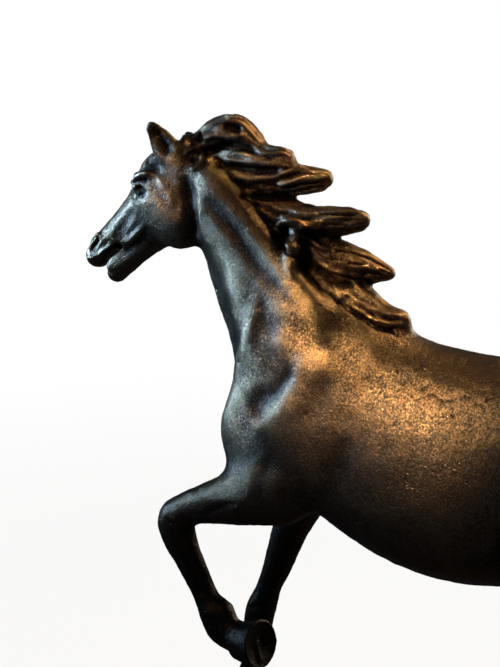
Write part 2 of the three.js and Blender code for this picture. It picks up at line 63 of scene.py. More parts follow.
def towards(azimuth, elevation):
    """The direction from the statue to a viewer at that azimuth and elevation."""
    level = math.cos(elevation)
    return Vector((math.sin(azimuth) * level, -math.cos(azimuth) * level, math.sin(elevation)))


lens = bpy.data.cameras.new("camera")
lens.sensor_fit = "VERTICAL"
lens.sensor_height = 24
lens.lens = lens.sensor_height * FOCAL_LENGTH / PHOTO_HEIGHT
camera = bpy.data.objects.new("camera", lens)
bpy.context.scene.collection.objects.link(camera)
back = towards(VIEW_FROM, VIEW_ABOVE)
camera.location = LOOK_AT + VIEW_DISTANCE * back
camera.rotation_euler = back.to_track_quat("Z", "Y").to_euler()
bpy.context.scene.camera = camera
bpy.context.scene.view_settings.view_transform = "Standard"
print("camera at", [round(x, 3) for x in camera.location], "lens", round(lens.lens, 1), "mm")

# %% [markdown]
# Shader maths is easier to read as Python than as a web of nodes. `Shader` holds one material. Its
# `node` method adds any node, and `Number` wraps a socket, so `1 - mask` adds the Math node that it
# says.

# %% A small language for shaders
class Number:
    """A socket that carries a number, for use in expressions."""

    def __init__(self, shader, socket):
        self.shader = shader
        self.socket = socket

    def math(self, operation, *values):
        found = self.shader.node("ShaderNodeMath", {"operation": operation}, dict(enumerate(values)))
        return Number(self.shader, found.outputs[0])

    def __add__(self, other):
        return self.math("ADD", self, other)

    def __radd__(self, other):
        return self.math("ADD", other, self)

    def __sub__(self, other):
        return self.math("SUBTRACT", self, other)

    def __rsub__(self, other):
        return self.math("SUBTRACT", other, self)

    def __mul__(self, other):
        return self.math("MULTIPLY", self, other)

    def __rmul__(self, other):
        return self.math("MULTIPLY", other, self)

    def step(self, low, high):
        """0 up to low, 1 from high, and a smooth slope between."""
        settings = {"interpolation_type": "SMOOTHSTEP"}
        sockets = {"Value": self, "From Min": low, "From Max": high}
        return Number(self.shader, self.shader.node("ShaderNodeMapRange", settings, sockets).outputs[0])


class Shader:
    """A material and the nodes in it."""

    def __init__(self, name):
        self.material = bpy.data.materials.new(name)
        self.material.use_nodes = True
        self.tree = self.material.node_tree
        self.tree.nodes.clear()
        self.place = self.node("ShaderNodeTexCoord").outputs["Object"]

    def node(self, kind, settings=None, sockets=None):
        made = self.tree.nodes.new(kind)
        for name, value in (settings or {}).items():
            setattr(made, name, value)
        for name, value in (sockets or {}).items():
            if isinstance(value, Number):
                value = value.socket
            if isinstance(value, bpy.types.NodeSocket):
                self.tree.links.new(value, made.inputs[name])
            else:
                made.inputs[name].default_value = value
        return made

    def noise(self, size, detail=2.0, roughness=0.5):
        """Soft random lumps of about this size in metres, as a number from 0 to 1."""
        sockets = {"Vector": self.place, "Scale": 1 / size, "Detail": detail, "Roughness": roughness}
        return Number(self, self.node("ShaderNodeTexNoise", {}, sockets).outputs["Fac"])

    def cells(self, size):
        """How far the nearest of many scattered points is, as a share of their spacing."""
        sockets = {"Vector": self.place, "Scale": 1 / size}
        return Number(self, self.node("ShaderNodeTexVoronoi", {}, sockets).outputs["Distance"])

    def height(self):
        """How far the place is above the origin, in metres."""
        return Number(self, self.node("ShaderNodeSeparateXYZ", {}, {0: self.place}).outputs["Z"])

    def attribute(self, name):
        return Number(self, self.node("ShaderNodeAttribute", {"attribute_name": name}).outputs["Fac"])

    def mix(self, factor, first, second):
        """A colour between two colours."""
        # the factor and the two colours go by their order on the node, because their names repeat
        sockets = {0: factor, 6: first, 7: second}
        return self.node("ShaderNodeMix", {"data_type": "RGBA"}, sockets).outputs[2]

    def bump(self, height, depth):
        """Normals of a relief that is this deep in metres where height goes from 0 to 1."""
        sockets = {"Height": height, "Distance": depth, "Strength": 1.0}
        return self.node("ShaderNodeBump", {}, sockets).outputs["Normal"]

    def finish(self, **sockets):
        named = {name.replace("_", " "): value for name, value in sockets.items()}
        surface = self.node("ShaderNodeBsdfPrincipled", {}, named)
        self.node("ShaderNodeOutputMaterial", {}, {"Surface": surface.outputs[0]})
        print("material", self.material.name, "with", len(self.tree.nodes), "nodes")
        return self.material


# %% [markdown]
# Polished iron is seen mostly by what it reflects, so a bright room would turn it grey. The camera sees
# a white backdrop, as in a catalogue, and every other ray sees a dim room.

# %% Backdrop
WHITE = (1.0, 1.0, 1.0, 1.0)
ROOM_LIGHT = (0.022, 0.024, 0.03, 1.0)

world = bpy.data.worlds.new("studio")
bpy.context.scene.world = world
world.use_nodes = True
sky = world.node_tree
sky.nodes.clear()
seen = sky.nodes.new("ShaderNodeBackground")
seen.inputs["Color"].default_value = WHITE
lit = sky.nodes.new("ShaderNodeBackground")
lit.inputs["Color"].default_value = ROOM_LIGHT
ray = sky.nodes.new("ShaderNodeLightPath")
choose = sky.nodes.new("ShaderNodeMixShader")
screen = sky.nodes.new("ShaderNodeOutputWorld")
sky.links.new(ray.outputs["Is Camera Ray"], choose.inputs[0])
sky.links.new(lit.outputs[0], choose.inputs[1])
sky.links.new(seen.outputs[0], choose.inputs[2])
sky.links.new(choose.outputs[0], screen.inputs["Surface"])
print("world lights the room with", ROOM_LIGHT[:3])

# %% [markdown]
# The floor is a pale disc that fades into the backdrop. Most of its brightness is its own glow, and a
# little plaster is mixed in, so that the statue still throws a faint shadow. It is kept out of
# reflections, because a white floor would light the belly, which is nearly black on the real statue.

# %% Floor
FLOOR_RADIUS = 0.9
FLOOR_FADES_FROM = 0.28
FLOOR_BELOW = 0.2 * MM
GLOW_SHARE = 0.95


def pale_floor():
    shader = Shader("pale_floor")
    away = shader.node("ShaderNodeVectorMath", {"operation": "LENGTH"}, {0: shader.place}).outputs["Value"]
    fade = Number(shader, away).step(FLOOR_FADES_FROM, FLOOR_RADIUS * 0.9)
    plaster = shader.node("ShaderNodeBsdfDiffuse", {}, {"Color": (0.80, 0.80, 0.80, 1.0)})
    glow = shader.node("ShaderNodeEmission", {}, {"Color": (0.98, 0.98, 0.98, 1.0)})
    mixed = {0: GLOW_SHARE, 1: plaster.outputs[0], 2: glow.outputs[0]}
    pale = shader.node("ShaderNodeMixShader", {}, mixed)
    clear = shader.node("ShaderNodeBsdfTransparent")
    both = shader.node("ShaderNodeMixShader", {}, {0: fade, 1: pale.outputs[0], 2: clear.outputs[0]})
    shader.node("ShaderNodeOutputMaterial", {}, {"Surface": both.outputs[0]})
    return shader.material


bpy.ops.object.select_all(action="DESELECT")
place = (0, 0, -FLOOR_BELOW)
bpy.ops.mesh.primitive_circle_add(vertices=96, radius=FLOOR_RADIUS, fill_type="NGON", location=place)
floor = bpy.context.object
floor.name = "floor"
bpy.ops.object.transform_apply(location=True)
floor.data.materials.append(pale_floor())
floor.visible_diffuse = False
floor.visible_glossy = False
print("floor", 2 * FLOOR_RADIUS, "m wide, fading from", FLOOR_FADES_FROM, "m")

# %% [markdown]
# Two kinds of light draw the iron. Warm light from high on the left gives the barrel, the collar and
# the mane their gold, and cool light from the front lays blue on the face and the breast. One large
# lamp of each kind would flood the hollows, so each place has a softbox of its own, turned so that its
# reflection meets the camera, with a beam held narrow. A broad weak fill and two broad lights from
# behind do the rest. A beam this narrow loses hardly any light on its way, which is why the watts are
# so few.

# %% Lights
def softbox(name, direction, distance, aim, size, spread, watts, colour):
    """A soft light in that direction from the place it is aimed at, with its beam held to the spread."""
    light = bpy.data.lights.new(name, "AREA")
    light.shape = "RECTANGLE"
    light.size, light.size_y = size
    light.spread = math.radians(spread)
    light.energy = watts
    light.color = colour
    lamp = bpy.data.objects.new(name, light)
    bpy.context.scene.collection.objects.link(lamp)
    lamp.location = Vector(aim) * MM + distance * Vector(direction).normalized()
    lamp.rotation_euler = Vector(direction).to_track_quat("Z", "Y").to_euler()
    print(f"softbox {name}: {watts} W from {[round(x, 2) for x in direction]}")


SHOULDER = (-20, -22, 159)
COLLAR = (-46, -17, 177)
BREAST = (-72, -18, 158)
HEAD = (-125, -10, 214)
BROW = (-100, -10, 219)
MANE = (-46, -3, 212)
MIDDLE = (-10, 0, 140)
AMBER = (1.0, 0.60, 0.26)
PALE_AMBER = (1.0, 0.84, 0.66)
COOL_BLUE = (0.36, 0.63, 1.0)
NEAR = 0.8

softbox("warm_key", (-0.35, -0.74, 0.57), NEAR, SHOULDER, (0.062, 0.058), 2.6, 0.0175, AMBER)
softbox("warm_collar", (-0.23, -0.94, 0.25), NEAR, COLLAR, (0.020, 0.034), 0.8, 0.0011, AMBER)
softbox("warm_brow", (-0.60, -0.79, 0.15), NEAR, BROW, (0.010, 0.022), 0.5, 0.0002, AMBER)
softbox("warm_mane", (-0.10, -0.35, 0.95), NEAR, MANE, (0.082, 0.016), 0.6, 0.0048, AMBER)
softbox("warm_fill", (-0.34, -0.72, 0.60), NEAR, MIDDLE, (0.26, 0.26), 120, 0.16, AMBER)
softbox("warm_top", (0.42, 0.30, 0.86), NEAR, MIDDLE, (0.36, 0.26), 60, 0.6, AMBER)
softbox("cool_face", (-0.96, -0.27, 0.16), NEAR, HEAD, (0.12, 0.18), 16, 0.12, COOL_BLUE)
softbox("cool_breast", (-0.64, -0.76, -0.02), NEAR, BREAST, (0.026, 0.080), 0.8, 0.0036, COOL_BLUE)
softbox("far_side", (0.35, 0.92, 0.30), 1.0, MIDDLE, (0.50, 0.50), 120, 2.4, PALE_AMBER)

# %% [markdown]
# The finish is one material that changes over the surface. Its colour darkens towards the bottom, a painted
# shade under the light from above, so the legs and the belly stay almost black. Where a point stands proud
# of its surroundings, hands and time have rubbed it to gold. The sand of the mould left a grain, which
# breaks each highlight into sparks.

# %% Bronzed iron
BLACK_BROWN = (0.018, 0.015, 0.013, 1.0)
BRONZE = (0.080, 0.062, 0.045, 1.0)
RUBBED_GOLD = (0.21, 0.155, 0.096, 1.0)
GRAIN = 0.7 * MM
LUMPS = 2.0 * MM
PATCHES = 14 * MM
# painted shade: the colour is darkest below the first height and no longer darkened above the second
PAINTED_SHADE_BELOW = 80 * MM
PAINTED_SHADE_ENDS_ABOVE = 150 * MM
RELIEF = 1.0 * MM


def bronzed_iron():
    shader = Shader("bronzed_iron")
    height = shader.height()
    sand = shader.noise(GRAIN, 3.0, 0.6)
    pores = shader.cells(1.3 * GRAIN).step(0.05, 0.45)
    lumps = shader.noise(LUMPS, 3.0, 0.5)
    cloud = shader.noise(PATCHES, 2.0, 0.5)
    proud = shader.attribute("proud")
    tops = sand.step(0.42, 0.68)
    # painted shade: darker towards the bottom, so the legs and belly stay nearly black and keep no gold
    out_of_painted_shade = (height + 30 * MM * (cloud - 0.5)).step(PAINTED_SHADE_BELOW, PAINTED_SHADE_ENDS_ABOVE)
    rubbed = proud + 0.2 * (cloud - 0.5) + 0.55 * (tops - 0.5) + 0.4 * (pores - 0.7)
    # the wear is rubbed gold, held back below by the painted shade
    wear_out_of_painted_shade = rubbed.step(0.3, 1.3) * out_of_painted_shade
    brown = shader.mix((0.35 + 0.65 * out_of_painted_shade) * rubbed.step(-0.3, 0.8), BLACK_BROWN, BRONZE)
    colour = shader.mix(wear_out_of_painted_shade, brown, RUBBED_GOLD)
    relief = 0.19 * sand + 0.10 * pores + 0.07 * lumps
    return shader.finish(
        Base_Color=colour,
        Metallic=0.94 + 0.05 * wear_out_of_painted_shade,
        Roughness=0.35 - 0.04 * wear_out_of_painted_shade + 0.08 * (0.5 - tops),
        Normal=shader.bump(relief, RELIEF),
        Specular_IOR_Level=0.4,
    )


horse_finish = bronzed_iron()

# %% [markdown]
# The base is the same iron with almost no bronze on it: duller than the horse, nearly black, and a
# little browner where it stands proud, so that it stays in the background.

# %% Dark iron of the base
BASE_BLACK = (0.016, 0.014, 0.013, 1.0)
BASE_BROWN = (0.16, 0.115, 0.075, 1.0)
BASE_GRAIN = 0.5 * MM
BASE_LUMPS = 2.2 * MM
BASE_PATCHES = 18 * MM
BASE_RELIEF = 0.30 * MM


def black_iron():
    shader = Shader("black_iron")
    sand = shader.noise(BASE_GRAIN, 3.0, 0.6)
    lumps = shader.noise(BASE_LUMPS, 3.0, 0.55)
    cloud = shader.noise(BASE_PATCHES, 2.0, 0.5)
    proud = shader.attribute("proud")
    wear_out_of_painted_shade = (proud + 0.4 * (cloud - 0.5) + 0.4 * (sand - 0.5)).step(0.5, 1.0)
    colour = shader.mix(wear_out_of_painted_shade, BASE_BLACK, BASE_BROWN)
    relief = 0.5 * sand + 0.9 * lumps
    return shader.finish(
        Base_Color=colour,
        Metallic=0.5 + 0.3 * wear_out_of_painted_shade,
        Roughness=0.52 - 0.1 * wear_out_of_painted_shade + 0.14 * (sand - 0.5),
        Normal=shader.bump(relief, BASE_RELIEF),
        Specular_IOR_Level=0.5,
    )


base_finish = black_iron()

# %% [markdown]
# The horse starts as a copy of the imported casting, so it keeps the true form. Its loose triangles are
# merged and rounded by a Subdivision Surface. That softens the hooves too, so crisp ones are joined to
# the legs. A voxel Remesh then lays the whole again as an even net of half-millimetre squares, which
# takes the strokes of a modelling tool the same way everywhere.

# %% The blank
FINE = 0.52 * MM
HORSE_FORWARD = Vector((-7, 0, 0))  # from the horse's own frame to the statue's, in millimetres
HOOF_HEIGHT = 10.5
SOLE_RADIUS = 8.4
CORONET_RADIUS = 5.7
GROUND = 10.3
STANDING_HOOVES = [(-87.1, 15), (95.9, -15.5), (32.9, 14)]
LIFTED_SOLE = Vector((-48.9, -20.5, 64.4))
LIFTED_FACING = Vector((0.95, -0.18, 0.2)).normalized()
LEAN = Matrix(((1, 0, 0.5, 0), (0, 1, 0, 0), (0, 0, 1, 0), (0, 0, 0, 1)))  # half as far forward as up


def modify(piece, kind, **settings):
    modifier = piece.modifiers.new(kind.lower(), kind)
    for name, value in settings.items():
        setattr(modifier, name, value)
    bpy.context.view_layer.objects.active = piece
    bpy.ops.object.modifier_apply(modifier=modifier.name)


def only(piece):
    bpy.ops.object.select_all(action="DESELECT")
    piece.select_set(True)
    bpy.context.view_layer.objects.active = piece


def copy_of(node, name):
    piece = bpy.data.objects.new(name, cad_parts[node].data.copy())
    bpy.context.scene.collection.objects.link(piece)
    piece.data.materials.clear()
    only(piece)
    bpy.ops.object.mode_set(mode="EDIT")
    bpy.ops.mesh.select_all(action="SELECT")
    bpy.ops.mesh.remove_doubles(threshold=0.001 * MM)
    bpy.ops.object.mode_set(mode="OBJECT")
    return piece


def count_of(piece):
    piece.data.calc_loop_triangles()
    return len(piece.data.loop_triangles)


def add_hoof(place):
    """A cone with its sole down at the origin, moved by a matrix in the horse's frame."""
    bpy.ops.object.select_all(action="DESELECT")
    radii = {"radius1": SOLE_RADIUS, "radius2": CORONET_RADIUS}
    bpy.ops.mesh.primitive_cone_add(vertices=48, depth=HOOF_HEIGHT, **radii)
    hoof = bpy.context.object
    stood = Matrix.Translation((0, 0, HOOF_HEIGHT / 2))
    hoof.data.transform(Matrix.Scale(MM, 4) @ Matrix.Translation(HORSE_FORWARD) @ place @ stood)
    return hoof


horse = copy_of("horse", "bronzed_horse")
modify(horse, "SUBSURF", levels=2, render_levels=2)
hooves = [add_hoof(Matrix.Translation((x, y, GROUND)) @ LEAN) for x, y in STANDING_HOOVES]
turned = (-LIFTED_FACING).to_track_quat("Z", "Y").to_matrix().to_4x4()
hooves.append(add_hoof(Matrix.Translation(LIFTED_SOLE) @ turned))
only(horse)
for hoof in hooves:
    hoof.select_set(True)
bpy.ops.object.join()
modify(horse, "REMESH", mode="VOXEL", voxel_size=FINE)
modify(horse, "SMOOTH", factor=0.5, iterations=5)
print("blank:", len(horse.data.vertices), "points, with", len(hooves), "hooves")

# %% [markdown]
# Each muscle, fold and lock is a stroke along a line. A few places are enough for a line when a smooth
# curve runs through them, and a slope that starts and ends level leaves no edge beside a stroke. The
# unevenness of the casting is a sum of many waves in random directions.

# %% Lines, slopes and unevenness
def smooth_line(places, spacing=0.5):
    """Points this far apart on a smooth curve through the places."""
    p = np.array(places, float)
    p = np.vstack([2 * p[0] - p[1], p, 2 * p[-1] - p[-2]])
    pieces = []
    for a, b, c, d in zip(p, p[1:], p[2:], p[3:]):
        count = max(2, int(np.linalg.norm(c - b) / spacing) + 1)
        t = np.linspace(0, 1, count, endpoint=False)[:, None]
        bend = (2 * a - 5 * b + 4 * c - d) * t**2 + (3 * b - a - 3 * c + d) * t**3
        pieces.append(0.5 * (2 * b + (c - a) * t + bend))
    return np.vstack(pieces + [p[-2:-1]])


def slope(t):
    t = np.clip(t, 0, 1)
    return t * t * (3 - 2 * t)


def uneven(points, size, seed, waves=36):
    """Smooth random values, mostly from -1 to 1, that change over this size in millimetres."""
    random = np.random.default_rng(seed)
    total = np.zeros(len(points))
    for _ in range(waves):
        way = random.normal(size=3)
        way *= random.uniform(0.6, 1.6) * 2 * math.pi / size / np.linalg.norm(way)
        total += np.sin(points @ way + random.uniform(0, 2 * math.pi))
    return total * math.sqrt(2 / waves)


print("a line of 3 places has", len(smooth_line([(0, 0), (5, 2), (9, 0)])), "points")

# %% [markdown]
# `Skin` holds the points of a piece in millimetres, in the horse's own frame, where it faces -X and its
# left side is at -Y. It knows which way each point faces, so that work on it can go straight in or out,
# as a modelling tool does, and it can lay a line that is drawn on the side view onto the surface.

# %% The skin
class Skin:
    def __init__(self, piece):
        self.piece = piece
        mesh = piece.data
        co = np.empty(len(mesh.vertices) * 3)
        mesh.vertices.foreach_get("co", co)
        self.points = co.reshape(-1, 3) / MM - np.array(HORSE_FORWARD)
        self.shown = self.points.copy()
        edges = np.empty(len(mesh.edges) * 2, np.int64)
        mesh.edges.foreach_get("vertices", edges)
        self.edges = edges.reshape(-1, 2)
        self.degree = np.bincount(self.edges.ravel(), minlength=len(self.points))[:, None]
        self.faces = [tuple(face.vertices) for face in mesh.polygons]
        self.look()

    def look(self, step=None):
        """Takes the normals of the skin as it is now, and a tree to lay lines on it."""
        mesh = self.piece.data
        mesh.vertices.foreach_set("co", ((self.points + np.array(HORSE_FORWARD)) * MM).ravel())
        mesh.update()
        normals = np.empty(len(mesh.vertices) * 3, np.float32)
        mesh.vertex_normals.foreach_get("vector", normals)
        self.normals = self.averaged(normals.reshape(-1, 3).astype(float), 3)
        self.normals /= np.linalg.norm(self.normals, axis=1)[:, None] + 1e-9
        self.tree = BVHTree.FromPolygons(self.points.tolist(), self.faces)
        if step:
            moved = np.linalg.norm(self.points - self.shown, axis=1)
            self.shown = self.points.copy()
            print(f"{step}: {int((moved > 0.05).sum())} points moved, by up to {moved.max():.1f} mm")

    def averaged(self, values, times, share=0.5):
        """The values, each drawn towards the mean of its neighbours that many times."""
        a, b = self.edges[:, 0], self.edges[:, 1]
        for _ in range(times):
            total = np.zeros_like(values)
            for axis in range(values.shape[1]):
                total[:, axis] = np.bincount(a, values[b, axis], len(values))
                total[:, axis] += np.bincount(b, values[a, axis], len(values))
            values = values + share * (total / self.degree - values)
        return values

    def push(self, height):
        """Moves every point out by its own height."""
        self.points += height[:, None] * self.normals

    def lay(self, places, side):
        """Lays a line on the skin: (x, z) places from that side, (x, y, z) places on what is nearest."""
        found, facing = [], []
        for place in smooth_line(places):
            if len(place) == 2:
                hit = self.tree.ray_cast(Vector((place[0], 90 * side, place[1])), Vector((0, -side, 0)))
            else:
                hit = self.tree.find_nearest(Vector((place[0], -side * place[1], place[2])))
            if hit[0] is not None:
                found.append(hit[0])
                facing.append(hit[1])
        return np.array(found), np.array(facing)


hand = Skin(horse)
print("skin of", len(hand.points), "points")

# %% [markdown]
# These are the modeller's strokes. `press` draws a groove along its places, and a ridge where the depth
# is negative. `dab` makes one round hollow. A stroke only moves points that face the same way as the
# skin under it, so that work on one side of an ear or a lock doesn't come out on the other.

# %% Strokes
LEFT, RIGHT = -1, 1
BOTH = (LEFT, RIGHT)
SOFT_ENDS = (0.35, 0.35)
CRISP_ENDS = (0.12, 0.12)


def press(places, width, depth, sides=(LEFT,), ends=CRISP_ENDS, sharp=False):
    """Presses a groove of this half-width and depth along the places, fading out at its ends."""
    for side in sides:
        line, facing = hand.lay(places, side)
        if len(line) < 2:
            continue
        t = np.linspace(0, 1, len(line))
        strength = np.ones(len(line))
        if ends[0]:
            strength *= slope(t / ends[0])
        if ends[1]:
            strength *= slope((1 - t) / ends[1])
        displace(line, facing, strength, width, depth, sharp)


def dab(place, width, depth, sides=(LEFT,), sharp=False):
    """Presses one round hollow."""
    for side in sides:
        line, facing = hand.lay([place, place], side)
        if len(line):
            displace(line[:1], facing[:1], np.ones(1), width, depth, sharp)


def displace(line, facing, strength, width, depth, sharp):
    low, high = line.min(0) - width, line.max(0) + width
    near = np.flatnonzero(((hand.points > low) & (hand.points < high)).all(1))
    best = np.zeros(len(near))
    for start in range(0, len(line), 32):  # a few at a time, to keep the table of distances small
        part = slice(start, start + 32)
        away = np.linalg.norm(hand.points[near][:, None] - line[None, part], axis=2)
        reach = width * (0.35 + 0.65 * strength[None, part])
        t = np.clip(1 - away / reach, 0, 1)
        shape = t**1.4 if sharp else slope(t)
        turned = np.clip(2 * (hand.normals[near] @ facing[part].T) - 0.1, 0, 1)
        best = np.maximum(best, (shape * turned * strength[None, part]).max(1, initial=0))
    hand.points[near] -= depth * best[:, None] * hand.normals[near]


def draw(lines, **stroke):
    """The same stroke along several lines."""
    for places in lines:
        press(places, **stroke)


def muscle(lines, width, depth):
    """Broad strokes that fade out slowly, the same on both sides."""
    draw(lines, width=width, depth=depth, sides=BOTH, ends=SOFT_ENDS)


print("soft strokes fade over", SOFT_ENDS[0], "of their length, crisp ones over", CRISP_ENDS[0])

# %% [markdown]
# A horse's muscles are alike on its two sides, so these strokes are made on both. The long channel of
# the neck comes down from behind the cheek and meets a fold that stands up in front of the shoulder.

# %% Neck
muscle([[(-84, 219.6), (-78, 215.4), (-71.2, 211.4), (-62.9, 203.8), (-55.6, 195.4), (-47.1, 187.3),
         (-40.1, 182.3), (-35, 178)]], width=4.8, depth=1.1)
muscle([[(-87, 226), (-83.6, 217), (-82.2, 208.5), (-84.6, 202), (-89, 198.6)]], width=5.0, depth=1.5)
muscle([[(-57.6, 188), (-59.4, 178), (-62.4, 168), (-65.4, 160)]], width=7.0, depth=0.7)
muscle([[(-53.6, 190), (-54.4, 181), (-56.4, 171), (-60, 160)]], width=4.6, depth=-0.6)
muscle([[(-47, 184), (-45.6, 175), (-44.4, 166)]], width=8.5, depth=-0.8)
muscle([[(-76, 203), (-69.5, 192), (-65, 182)]], width=5.0, depth=0.4)
press([(-72, 0, 193), (-66, 0, 178), (-62, 0, 166)], width=3.0, depth=-0.3, ends=SOFT_ENDS)
hand.look("neck")

# %% [markdown]
# The shoulder blade stands out under the skin and leaves a hollow in front of it, with a fold on each
# side. The breast is parted down its middle.

# %% Shoulder and breast
muscle([[(-39, 162.6), (-43.5, 158.4), (-49.5, 152.8)]], width=4.4, depth=-0.5)
muscle([[(-32, 167.4), (-36, 161.5), (-38.9, 155.9), (-41.6, 149)]], width=5.0, depth=-0.5)
muscle([[(-23.5, 162), (-27, 156), (-30.4, 149.5), (-32.5, 142)]], width=7.0, depth=0.5)
muscle([[(-52, 171), (-42, 168), (-31, 166), (-19, 162)]], width=9.5, depth=-1.3)
muscle([[(-60, 151), (-57, 143.6), (-50.6, 140)]], width=4.4, depth=0.6)
muscle([[(-16, 146), (-19.6, 134), (-26, 121), (-31, 113)]], width=7.5, depth=0.7)
muscle([[(-44, 134), (-47, 124), (-50, 116)]], width=5.0, depth=0.5)
BREAST_PARTING = [(-74, 0, 156), (-71, 0, 146), (-66, 0, 134), (-58, 0, 122)]
press(BREAST_PARTING, width=3.4, depth=1.4, ends=SOFT_ENDS)
hand.look("shoulder and breast")

# %% [markdown]
# The barrel is smooth. Behind it the flank sinks in front of the thigh, the point of the hip stands
# out, and the big muscles of the haunch are parted by long channels. A shallow line runs along the
# spine.

# %% Barrel, loins and haunches
muscle([[(29, 106), (34, 117), (40, 128), (49, 139)]], width=5.5, depth=1.5)
muscle([[(40, 166.5), (47, 163), (53, 157)]], width=5.5, depth=-0.8)
muscle([[(73, 162), (73.5, 148), (70.5, 134), (67.5, 120), (69, 106)]], width=5.5, depth=1.3)
muscle([[(59, 158), (58, 146), (54, 134), (47, 124)]], width=6.5, depth=0.7)
muscle([[(58, 112), (64, 103), (72, 95)]], width=4.0, depth=0.6)
SPINE = [(-2, 0, 174), (14, 0, 170), (34, 0, 170), (54, 0, 172), (72, 0, 168)]
BETWEEN_HAUNCHES = [(84, 0, 146), (80, 0, 134), (76, 0, 122), (70, 0, 112)]
press(SPINE, width=4.0, depth=0.5, ends=SOFT_ENDS)
press(BETWEEN_HAUNCHES, width=4.0, depth=1.3, ends=SOFT_ENDS)
hand.look("barrel, loins and haunches")

# %% [markdown]
# The lower legs are bone and tendon. Each cannon has a groove in front of its tendon on both faces, the
# hocks have a hollow in front of the Achilles tendon, and a raised band runs round the top of every
# hoof.

# %% Legs
LEG_MIDDLES = {"lifted": -18.5, "standing": 15, "pushing": -15.5, "swinging": 14}


def on_leg(leg, places, width, depth, **stroke):
    """A stroke on the outer and the inner face of a leg."""
    middle = LEG_MIDDLES[leg]
    for face in (-9, 9):
        press([(x, middle + face, z) for x, z in places], width, depth, **stroke)


on_leg("lifted", [(-76.8, 93), (-72.9, 85.5), (-69.6, 78.6)], 1.7, 0.8)
on_leg("standing", [(-69, 49), (-69.9, 41), (-71.8, 32.5)], 1.7, 0.8)
on_leg("pushing", [(94.4, 66), (97.9, 53), (102, 39)], 1.8, 0.8)
on_leg("swinging", [(64.4, 60.5), (59.3, 48), (52.8, 35.5)], 1.8, 0.8)
on_leg("pushing", [(75, 98.5), (83, 89.6), (90, 81.5)], 2.6, 1.3, ends=SOFT_ENDS)
on_leg("swinging", [(57.5, 98), (63.6, 86), (67.6, 76)], 2.6, 1.3, ends=SOFT_ENDS)
on_leg("lifted", [(-86.6, 105.8), (-83.6, 103), (-79.4, 102.4)], 1.5, 0.6, ends=SOFT_ENDS)
on_leg("standing", [(-73, 60), (-69.6, 61.2), (-65.4, 61.8)], 1.5, 0.6, ends=SOFT_ENDS)
on_leg("lifted", [(-70.5, 107), (-62, 112.6), (-54, 115.6)], 2.4, 0.6, ends=SOFT_ENDS)
FETLOCKS = {
    "lifted": (-67.8, 73.6),
    "standing": (-75.6, 28.4),
    "pushing": (101.6, 32),
    "swinging": (45.4, 31),
}
for leg, (x, z) in FETLOCKS.items():
    on_leg(leg, [(x, z), (x + 0.1, z - 0.1)], 3.2, -0.5, ends=(0, 0))
hand.look("legs")

# %% [markdown]
# A hoof grows in faint rings from the coronet, the soft band at its top. The lifted one shows its sole,
# which is cupped, with a rim of horn round it and the wedge of the frog in its middle.

# %% Hooves
def ring(middle, axis, radius):
    """Places on a circle round the axis."""
    axis = Vector(axis).normalized()
    across = axis.orthogonal().normalized()
    other = axis.cross(across)
    turns = np.linspace(0, 2 * math.pi, 33)
    return [tuple(Vector(middle) + radius * (math.cos(t) * across + math.sin(t) * other)) for t in turns]


CORONET = (10.2, 5.9, -0.15)  # height on the hoof, radius there, and depth
GROWTH_RINGS = ((8.6, 6.3, 0.2), (6.0, 7.0, 0.14), (3.4, 7.7, 0.14))
for x, y in STANDING_HOOVES:
    for height, size, depth in (CORONET, *GROWTH_RINGS):
        places = ring((x + 0.5 * height, y, GROUND + height), (0, 0, 1), size)
        press(places, 0.9, depth, ends=(0, 0))
height, size, depth = CORONET
press(ring(LIFTED_SOLE - height * LIFTED_FACING, LIFTED_FACING, size), 0.9, depth, ends=(0, 0))
dab(tuple(LIFTED_SOLE), width=8.2, depth=1.5)
hand.look()
press(ring(LIFTED_SOLE, LIFTED_FACING, 7.7), 0.9, -0.35, ends=(0, 0))
frog = [tuple(LIFTED_SOLE + Vector(place)) for place in ((0, -1.6, -6), (-1, -0.6, -1), (-1, 0.4, 2))]
press(frog, width=2.0, depth=-0.9, ends=(0.1, 0.3))
hand.look("hooves")

# %% [markdown]
# Wavy hair runs lengthwise round each lock. Thousands of strokes drawn by hand would be slow, so a comb
# cuts them all at once: it finds how far along its lock each point is and at what angle round the
# lock's middle, and turns the angle, with some waves added, into ridges. Where two locks meet, the
# nearer one wins.

# %% The comb
def follow(stations):
    """The middle of a flow of hair, its girth, and the directions along, across and up from it."""
    line = smooth_line(stations, 0.7)
    middle, girth = line[:, :3], line[:, 3:]
    along = np.gradient(middle, axis=0)
    along /= np.linalg.norm(along, axis=1)[:, None]
    across = np.array([0.0, 1.0, 0.0]) - along * along[:, 1:2]
    across /= np.linalg.norm(across, axis=1)[:, None]
    return middle, girth, along, across, np.cross(along, across)


def nearest_station(points, middle, size):
    """Which station of the flow each point belongs to, and how near it is for that station's size."""
    close = np.full(len(points), np.inf)
    station = np.zeros(len(points), int)
    for i in range(len(middle)):
        away = np.linalg.norm(points - middle[i], axis=1) / size[i]
        better = away < close
        close[better] = away[better]
        station[better] = i
    return station, close


